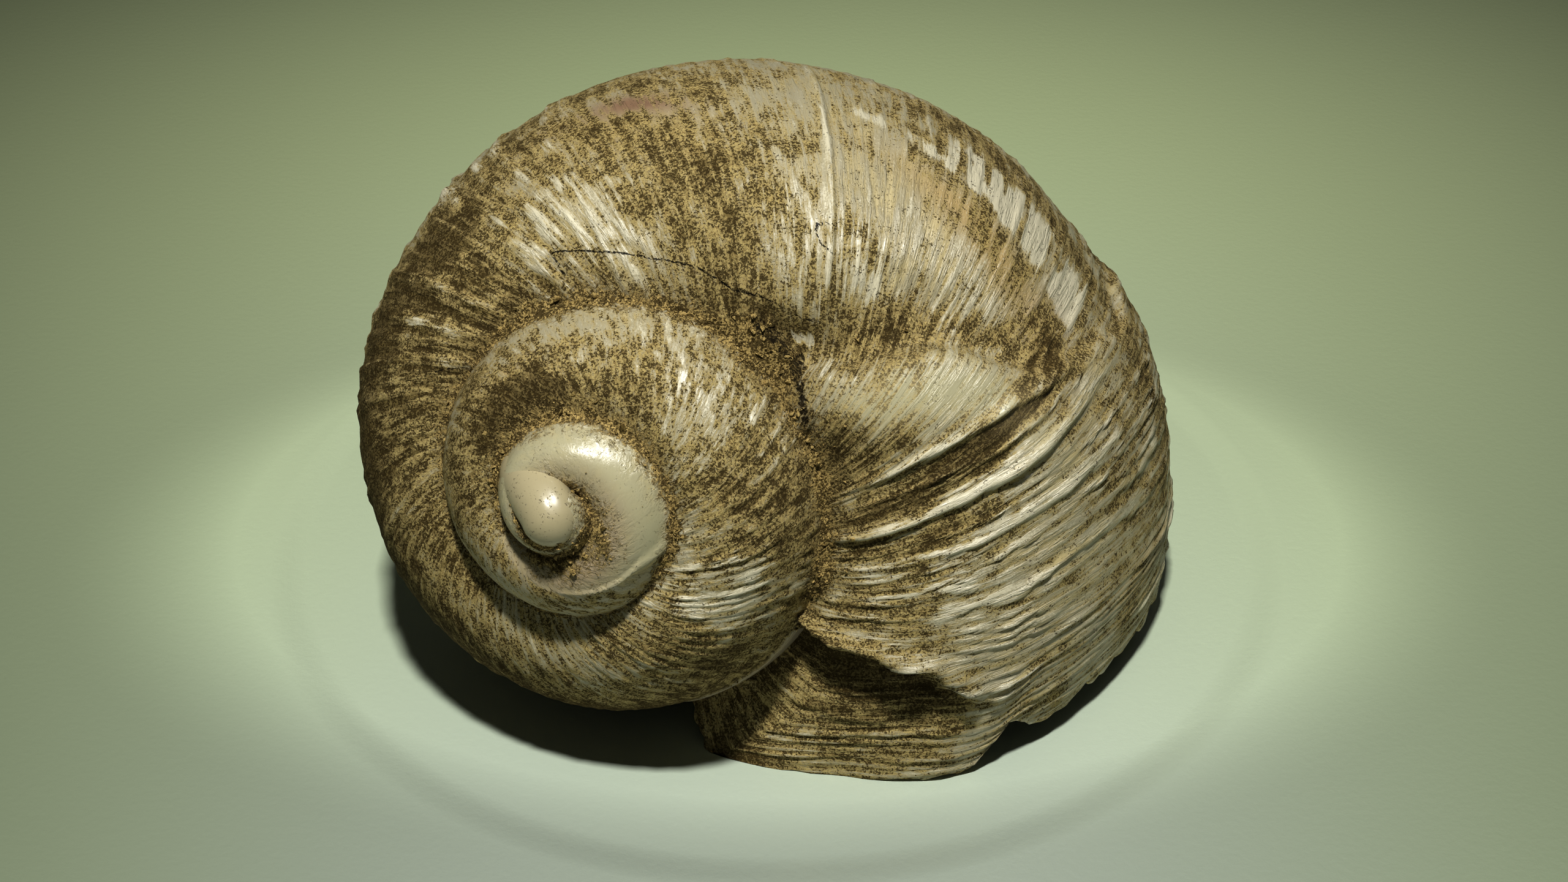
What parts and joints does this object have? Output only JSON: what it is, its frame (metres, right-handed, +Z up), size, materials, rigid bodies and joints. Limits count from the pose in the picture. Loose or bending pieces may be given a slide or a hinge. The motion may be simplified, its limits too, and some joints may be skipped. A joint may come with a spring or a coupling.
{
  "type": "land snail shell",
  "caption": "Empty, weathered land snail shell with coarse growth ribs, a healed break and a chipped lip, lying on its open mouth.",
  "frame": {"origin": "middle of the bounding box at its base, on the surface that the shell lies on", "axes": "+Z up; the apex points towards -Y, a little to -X and up; the mouth faces -Z"},
  "size_m": [0.0392, 0.0316, 0.0277],
  "materials": {
    "weathered_shell": "dull cream shell, whitish on the ribs, with dried ochre soil in the grooves and a smoother, glossier apex"
  },
  "bodies": {
    "root": {"shell": "weathered_shell"}
  },
  "joints": []
}
